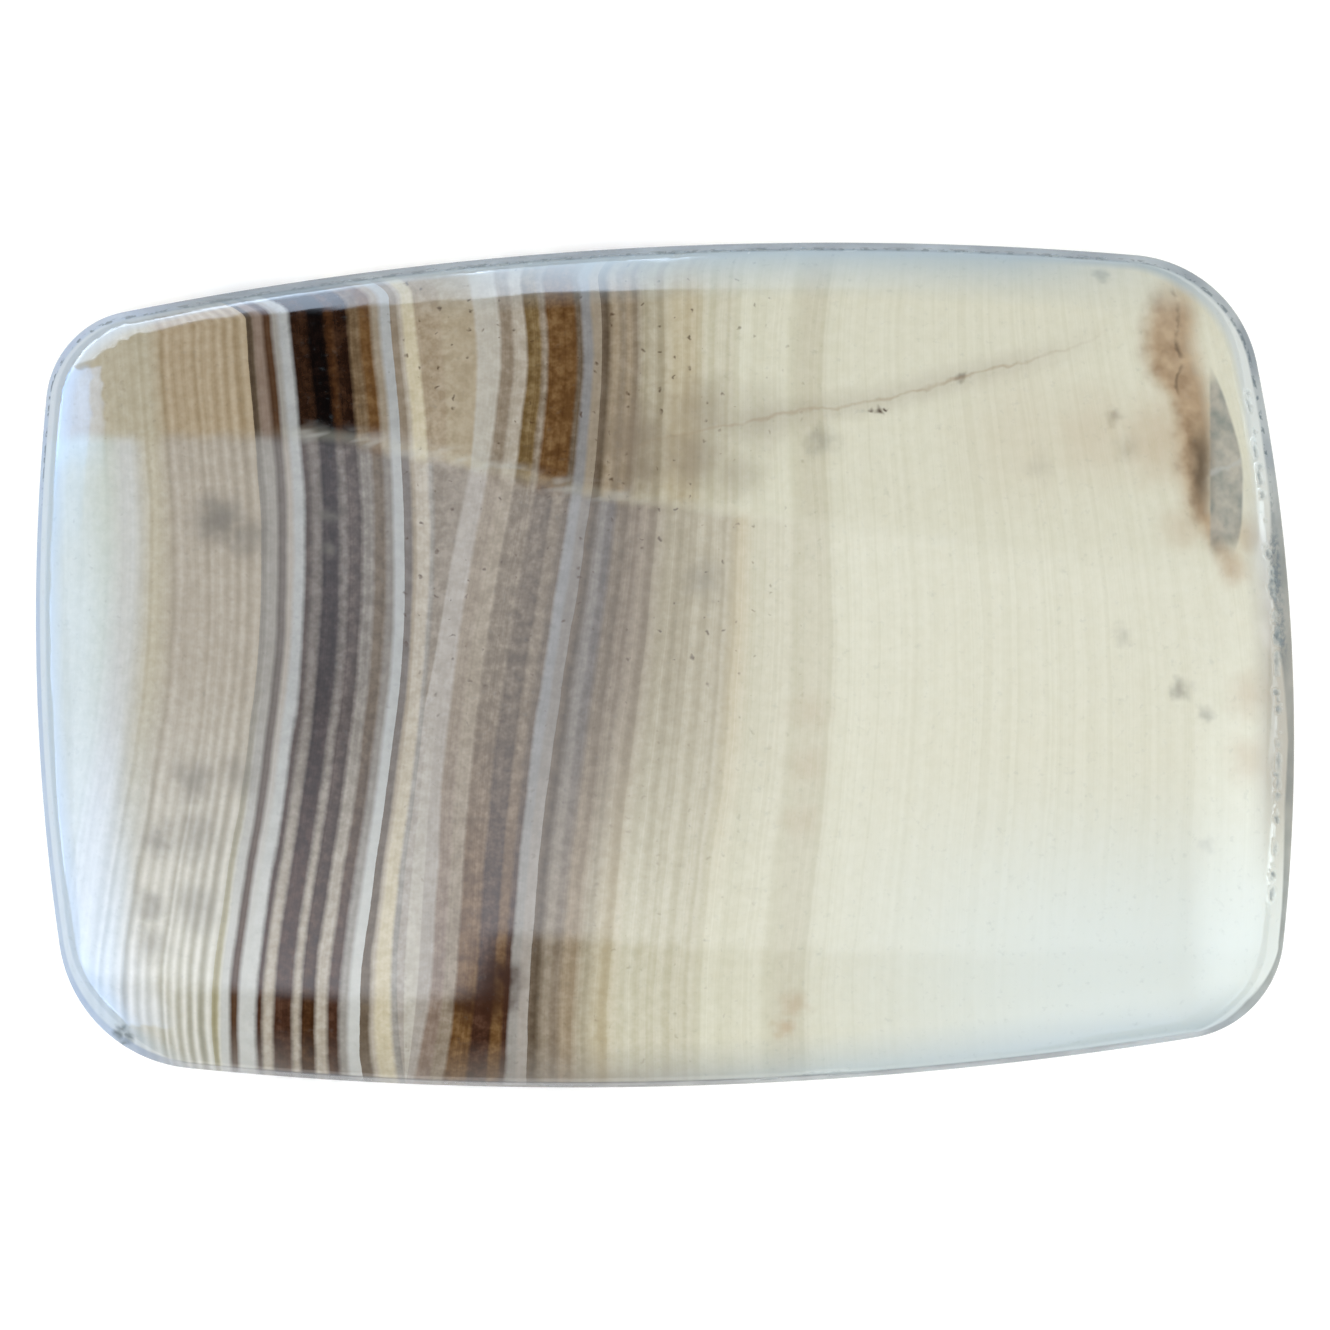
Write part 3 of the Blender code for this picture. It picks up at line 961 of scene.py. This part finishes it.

# Tones for where the dome drops to its foot and its right edge: painted shade, and bluish painted
# reflection
foot_shade_and_reflection_tone = painted(tone("ash"), [("reflection_veil", at["foot_bluish"]), ("pearl", at["far_left"])])
right_shade_tone = painted(tone("chalk"), [("pearl", at["right_bluish"])])
# Bluish white tones for the bevel: painted reflection at the left and along the top
bevel_reflection_tone = painted(tone("crest"), [("sky", at["left"]), ("mist", at["right"])])
# The rim's grey: its ground finish, with painted shade of the dark edge line, darker at the foot,
# and a bluish painted reflection at the left
rim_grey_and_shade_tone = painted(tone("rim"), [
    ("lichen", at["below_top"], at["right"]), ("shade", at["foot"]), ("haze", at["left"])])
reach = add("MapRange", {"Value": at["left"], "To Min": 1.9, "To Max": 2.1})
bevelled = add("MapRange", {"Value": z, "From Min": reach, "From Max": 1.7, "To Max": 0.7})
lit_side = add("Math", {0: at["left"], 1: at["top"]}, operation="MAXIMUM")
# Painted reflection and painted shade where the dome drops to its edges, then the bevel's painted
# reflection and the rim's grey
colour = painted(colour, [
    ("reflection_veil", at["painted_reflection_and_shade_top"], at["top_strip"], at["top_starts"], at["top_ends"], at["above_wall"]),
    (foot_shade_and_reflection_tone, at["painted_shade_and_reflection_foot"], at["foot"], at["half_pale"], at["above_wall"]),
    (right_shade_tone, at["painted_shade_right"], at["right"], at["below_top"], at["above_foot"],
     at["above_wall"]),
    (bevel_reflection_tone, bevelled, lit_side, at["above_wall"]),
    (rim_grey_and_shade_tone, at["grey"], at["ground"], at["uneven"])])

crumbs = add("TexNoise", {"Vector": place, "Scale": 4.0, "Detail": 3.0, "Roughness": 0.6})
frayed_depth = add("Math", {0: crumbs.outputs[0], 1: 0.1, 2: chip_amount}, operation="MULTIPLY_ADD")
# deep darkens the deepest chips as painted shade; hollow whitens the broken stone in the chips
crushed, nicks, hollow, deep, broken = [
    add("MapRange", {"Value": value, "From Min": first, "From Max": last, "To Max": most})
    for value, first, last, most in (
        (crumbs.outputs[0], 0.42, 0.6, 0.7), (clouds.outputs[0], 0.5, 0.58, 0.8),
        (chip_amount, 0.0, 0.03, 0.3), (frayed_depth, 0.06, 0.13, 0.55),
        (chip_amount, 0.0, 0.02, 0.45))]
colour = painted(colour, [
    ("flint", crushed, inside(inset_amount, 0.4, 1.1, 0.2), inside(y, 0.3, 4.4, 0.5), at["right"]),
    ("flint", nicks, inside(inset_amount, 0.6, 0.95, 0.12), at["top"]),
    ("snow", hollow),
    ("flint", deep)])
colour = spotted(colour, "flint", CORNER_NICKS)
tree.links.new(colour, shader.inputs["Base Color"])
roughness = add("Math", {0: at["grey"], 1: 0.2, 2: 0.06}, operation="MULTIPLY_ADD")
for more in (broken, at["unpolished"]):
    roughness = add("Math", {0: roughness, 1: more}, operation="ADD")
tree.links.new(roughness.outputs[0], shader.inputs["Roughness"])
shader.inputs["IOR"].default_value = 1.54
shader.inputs["Subsurface Weight"].default_value = 0.25
shader.inputs["Subsurface Scale"].default_value = 0.001
shader.inputs["Subsurface Radius"].default_value = (1.0, 0.8, 0.6)
skin.materials.append(agate)
print(f"{len(tree.nodes)} nodes")

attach(stone, "root")
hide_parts("cabochon")

# %% [markdown]
# The stone lies on a pale, matte card that a lamp shines through from below, as in a studio for
# small things: it lifts the shadow round the foot. The photograph looks straight down on it.

# %% The table and the light
scene = bpy.context.scene
scene.view_settings.view_transform = "Standard"

TABLE = 1.5
# A hair under the stone's back, so that the two flat faces don't coincide
UNDER = -0.00003
card = bpy.data.materials.new("matte_card")
card.use_nodes = True
paper = card.node_tree.nodes["Principled BSDF"]
paper.inputs["Base Color"].default_value = linear("#fdfdfc")
paper.inputs["Roughness"].default_value = 0.8
paper.inputs["Emission Color"].default_value = (1, 1, 1, 1)
paper.inputs["Emission Strength"].default_value = 0.18
card_mesh = bpy.data.meshes.new("table_top")
corners = [(TABLE * a, TABLE * b, UNDER) for a, b in ((-1, -1), (1, -1), (1, 1), (-1, 1))]
card_mesh.from_pydata(corners, [], [(0, 1, 2, 3)])
card_mesh.materials.append(card)
table = bpy.data.objects.new("table_top", card_mesh)
scene.collection.objects.link(table)

world = bpy.data.worlds.new("studio")
world.use_nodes = True
scene.world = world
tree = world.node_tree
rays = add("LightPath")
ways = add("SeparateXYZ", {0: add("TexCoord").outputs["Generated"]})
overhead_light = add("Math", {0: ways.outputs[2], 1: 0.45, 2: 1.05}, operation="MULTIPLY_ADD")
tilted = add("Math", {0: ways.outputs[1], 1: -0.15, 2: 1.0}, operation="MULTIPLY_ADD")
soft_light = add("Math", {0: overhead_light, 1: tilted}, operation="MULTIPLY")
sky_glow = add("Mix", {0: rays.outputs["Is Glossy Ray"], 2: soft_light, 3: 0.05}, data_type="FLOAT")
tree.nodes["Background"].inputs["Color"].default_value = linear("#f6f8fa")
tree.links.new(sky_glow.outputs[0], tree.nodes["Background"].inputs["Strength"])

# %% [markdown]
# Six sheets of light hang round the stone, and only the polish shows them. Each is worked out
# backwards from its mirror image on the dome: a look straight down is thrown back by the slope that
# it meets, and where it then goes, the light has to be. So a sheet is listed as a strip on the
# stone, with its two long edges and how strongly it glows across, as one would sketch the
# highlights on a drawing.

# %% Sheets of light that only the polish shows
SHEET_REACH = 300.0
ACROSS = 40
slopes = np.empty(3 * len(points), dtype=np.float32)
skin.vertex_normals.foreach_get("vector", slopes)
on_dome = points[:, 2] > BEVEL_TOP + 0.05
dome_points, slopes = points[on_dome][::3], slopes.reshape(-1, 3)[on_dome][::3]


def mirrored(places):
    """Where straight-down looks go from these places in plan: twice the slope's upward share along
    the slope, less straight up. The slope is a mean of the dome's, each weighted by the fourth
    power of its nearness."""
    gaps = np.sum((places[:, None] - dome_points[:, :2]) ** 2, axis=2)
    weights = 1 / (gaps + 1e-4) ** 2
    weights /= weights.sum(axis=1, keepdims=True)
    slope = weights @ slopes
    slope /= np.linalg.norm(slope, axis=1, keepdims=True)
    return weights @ dome_points + SHEET_REACH * (2 * slope[:, 2:] * slope - np.array([0, 0, 1]))


def resampled(table, count):
    """A table's rows read at this many even steps, each a mix of the two rows beside it."""
    at = np.linspace(0, len(table) - 1, count)
    before = np.minimum(at.astype(int), len(table) - 2)
    share = (at - before).reshape(-1, *[1] * (table.ndim - 1))
    return table[before] * (1 - share) + table[before + 1] * share


def light_sheet(name, hexa, strip):
    """A sheet whose mirror image is this strip. Each row of the strip has a point on its first edge
    and one on its last, in millimetres, and the glow from the one to the other. It fades in over
    one step at both edges. What lies behind it shines through, so sheets that overlap add up."""
    global tree
    strip = resampled(np.array(strip), 4 * len(strip) - 3)
    places = resampled(np.stack([strip[:, 0:2], strip[:, 2:4]]), ACROSS)
    glow = resampled(strip[:, 4:].T, ACROSS)
    glow[[0, -1]] = 0
    corners = mirrored(places.reshape(-1, 2)) * MM
    grid = np.arange(ACROSS * len(strip)).reshape(ACROSS, len(strip))
    quads = np.stack([grid[:-1, :-1], grid[:-1, 1:], grid[1:, 1:], grid[1:, :-1]], axis=-1)
    mesh = bpy.data.meshes.new(name)
    mesh.from_pydata(corners.tolist(), [], quads.reshape(-1, 4).tolist())
    level = mesh.attributes.new("glow", "FLOAT", "POINT")
    level.data.foreach_set("value", glow.ravel().astype(np.float32))
    material = bpy.data.materials.new(name)
    material.use_nodes = True
    tree = material.node_tree
    strength = add("Attribute", attribute_name="glow").outputs["Fac"]
    emission = add("Emission", {"Color": linear(hexa), "Strength": strength})
    both = add("AddShader", {0: emission, 1: add("BsdfTransparent")})
    tree.links.new(both.outputs[0], tree.nodes["Material Output"].inputs["Surface"])
    # Reflected looks find the sheets by themselves, so no light is aimed from them at anything
    material.cycles.emission_sampling = "NONE"
    mesh.materials.append(material)
    sheet = bpy.data.objects.new(name, mesh)
    scene.collection.objects.link(sheet)
    sheet.visible_camera = False
    sheet.visible_diffuse = False
    sheet.visible_shadow = False


light_sheet("overhead_sheet", "#ecf4ff", [
    (-20.2, 7.8, -19.5, -10.5, 1.3, 1.3, 3.3), (-18.6, 7.8, -18.2, -10.7, 1.3, 1.3, 3.5),
    (-15.5, 7.9, -15.5, -11.1, 0.9, 1.1, 3.3), (-12.1, 8.0, -12.1, -11.4, 1.5, 1.2, 3.3),
    (-10.5, 8.0, -10.5, -11.4, 1.9, 1.3, 3.4), (-8.8, 7.4, -8.8, -11.4, 1.8, 1.5, 3.4),
    (-7.8, 7.1, -7.8, -11.35, 1.9, 1.9, 3.3), (-7.3, 6.9, -7.3, -10.3, 2.1, 2.1, 3.3),
    (-6.9, 6.7, -6.9, -9.6, 2.2, 2.2, 3.3), (-6.3, 6.6, -6.3, -9.2, 2.4, 2.4, 3.4),
    (-4.0, 6.1, -4.0, -9.4, 2.7, 2.6, 3.4),
    (-2.1, 5.8, -2.1, -9.5, 2.3, 2.4, 3.2), (1.2, 5.6, 1.2, -9.7, 1.8, 2.0, 1.4),
    (4.5, 5.3, 4.5, -9.8, 1.5, 1.5, 1.3), (7.9, 5.0, 7.9, -9.8, 1.2, 1.2, 1.3),
    (11.2, 4.7, 11.2, -9.8, 1.1, 1.1, 1.1), (14.5, 4.3, 14.5, -9.8, 1.1, 1.1, 0.7),
    (18.0, 4.0, 18.0, -9.8, 1.1, 1.1, 0.5), (20.2, 3.8, 20.0, -9.8, 1.1, 1.1, 0.5)])
light_sheet("window_sheet", "#d0e2f8", [
    (-20.3, 9.95, -20.35, 10.0, 5.0, 5.0), (-19.9, 9.95, -19.95, 10.5, 5.5, 6.0),
    (-19.3, 10.15, -19.3, 10.95, 6.0, 7.0), (-18.6, 10.5, -18.6, 11.4, 6.0, 7.5),
    (-17.9, 10.93, -17.9, 11.7, 6.5, 8.0), (-16.8, 11.25, -16.8, 11.95, 6.5, 8.5),
    (-14.8, 11.52, -14.8, 12.25, 7.0, 8.0), (-12.6, 11.67, -12.6, 12.6, 8.0, 8.8),
    (-10.8, 11.88, -10.8, 12.8, 5.5, 6.0), (-9.0, 12.03, -9.0, 13.0, 2.1, 3.0),
    (-7.5, 12.15, -7.5, 13.2, 3.8, 4.5), (-5.9, 12.3, -5.9, 13.3, 7.0, 7.5),
    (-2.6, 12.5, -2.6, 13.6, 9.0, 6.0), (-1.0, 12.52, -1.0, 13.7, 6.0, 4.0),
    (0.5, 12.55, 0.5, 13.75, 2.6, 3.5), (3.2, 12.58, 3.2, 13.85, 1.5, 2.0),
    (5.9, 12.58, 5.9, 13.85, 1.2, 2.0), (8.5, 12.55, 8.5, 13.8, 0.8, 1.5),
    (11.2, 12.55, 11.2, 13.75, 0.4, 1.0), (14.5, 12.6, 14.5, 13.5, 0.2, 0.8),
    (16.7, 12.65, 16.7, 13.1, 0.1, 0.5)])
light_sheet("corner_sheet", "#59afff", [
    (-19.1, 10.0, -20.3, 9.9, 2.5, 3.0), (-19.2, 9.2, -20.45, 9.2, 4.4, 4.4),
    (-19.27, 7.6, -20.6, 7.6, 3.8, 3.8), (-19.4, 7.0, -20.6, 7.0, 1.8, 2.0),
    (-19.5, 5.5, -20.6, 5.5, 1.6, 1.8), (-19.6, 3.8, -20.7, 3.8, 0.0, 0.0)])
light_sheet("left_sheet", "#b0ceff", [
    (-18.85, 9.9, -20.1, 9.9, 5.5, 6.0, 7.0, 7.0, 7.0),
    (-18.8, 8.8, -20.4, 8.8, 4.0, 5.5, 6.5, 7.0, 7.0),
    (-18.75, 7.8, -20.5, 7.8, 2.5, 5.0, 6.0, 6.5, 6.5),
    (-18.6, 7.15, -20.55, 7.15, 0.0, 1.6, 3.2, 4.0, 4.3),
    (-18.4, 5.5, -20.6, 5.5, 0.0, 1.5, 3.2, 4.0, 4.5),
    (-18.2, 2.15, -20.7, 2.15, 0.0, 2.5, 5.0, 5.5, 6.0),
    (-18.15, -1.2, -20.7, -1.2, 0.0, 2.5, 4.8, 5.2, 6.0),
    (-18.0, -3.85, -20.5, -3.85, 0.0, 2.8, 4.8, 5.2, 6.5),
    (-17.8, -6.5, -20.3, -6.5, 0.0, 2.7, 4.6, 5.0, 6.3),
    (-17.6, -7.85, -20.1, -7.85, 0.0, 2.5, 4.3, 5.0, 6.3),
    (-17.4, -9.2, -19.9, -9.2, 0.0, 2.6, 4.3, 5.0, 6.3),
    (-17.0, -10.5, -19.4, -10.5, 0.0, 3.3, 5.2, 5.8, 6.5),
    (-16.6, -11.35, -18.8, -11.35, 0.0, 3.0, 5.0, 6.0, 6.0),
    (-16.2, -12.0, -18.1, -12.0, 0.0, 2.0, 4.0, 5.0, 5.0)])
light_sheet("right_sheet", "#e6f6ff", [
    (19.0, 11.5, 19.4, 11.5, 0.0, 0.0, 0.0, 0.0, 3.0),
    (19.2, 9.5, 19.9, 9.5, 0.0, 0.0, 0.0, 1.0, 4.0),
    (19.3, 6.5, 20.1, 6.5, 0.0, 0.0, 1.0, 3.0, 5.0),
    (19.0, 4.0, 20.2, 4.0, 0.0, 0.0, 0.0, 0.5, 1.0),
    (17.9, 2.2, 20.2, 2.2, 0.0, 0.0, 0.0, 0.0, 0.0),
    (17.8, 0.0, 20.35, 0.0, 0.0, 0.6, 0.8, 0.5, 0.0),
    (17.7, -1.2, 20.4, -1.2, 0.0, 1.0, 1.2, 1.0, 0.2),
    (17.6, -3.2, 20.45, -3.2, 0.0, 1.6, 2.0, 2.0, 1.0),
    (17.6, -5.2, 20.4, -5.2, 0.0, 2.0, 2.5, 2.6, 1.5),
    (17.6, -7.2, 20.3, -7.2, 0.0, 2.2, 2.8, 3.0, 2.0),
    (17.6, -9.0, 20.1, -9.0, 0.0, 2.3, 3.0, 3.2, 2.3),
    (17.6, -10.2, 19.8, -10.2, 0.0, 2.0, 2.6, 2.4, 1.8),
    (17.6, -11.2, 19.4, -11.2, 0.0, 0.8, 1.2, 1.2, 0.8),
    (17.6, -12.0, 18.6, -12.0, 0.0, 0.0, 0.0, 0.0, 0.0)])
light_sheet("front_sheet", "#c8dcff", [
    (-2.0, -13.5, -2.0, -13.95, 0.0, 0.1), (3.0, -13.0, 3.0, -13.8, 0.0, 0.5),
    (6.2, -12.5, 6.2, -13.5, 0.0, 0.8), (10.0, -11.8, 10.0, -13.2, 0.0, 1.2),
    (14.5, -11.0, 14.5, -12.6, 0.0, 1.6), (17.5, -10.6, 17.5, -11.8, 0.0, 1.2),
    (18.8, -10.0, 19.0, -10.8, 0.0, 0.3)])

# %% [markdown]
# The camera hangs straight above the stone, 60 cm up, with a lens so long that there is hardly any
# perspective. The picture is 1330 pixels wide, and 30 of them make a millimetre at the height of the
# crest.

# %% The camera
PHOTO_WIDTH = 1330
PIXELS_A_MM = 30
DISTANCE = 600.0
SENSOR = 36.0
camera = bpy.data.cameras.new("camera")
camera.sensor_width = SENSOR
camera.lens = SENSOR * (DISTANCE - BEVEL_TOP) * PIXELS_A_MM / PHOTO_WIDTH
camera.clip_start = 0.01
view = bpy.data.objects.new("camera", camera)
view.location = (0, 0, DISTANCE * MM)
scene.collection.objects.link(view)
scene.camera = view
print(f"a lens of {camera.lens:.0f} mm, {DISTANCE:.0f} mm above the table")
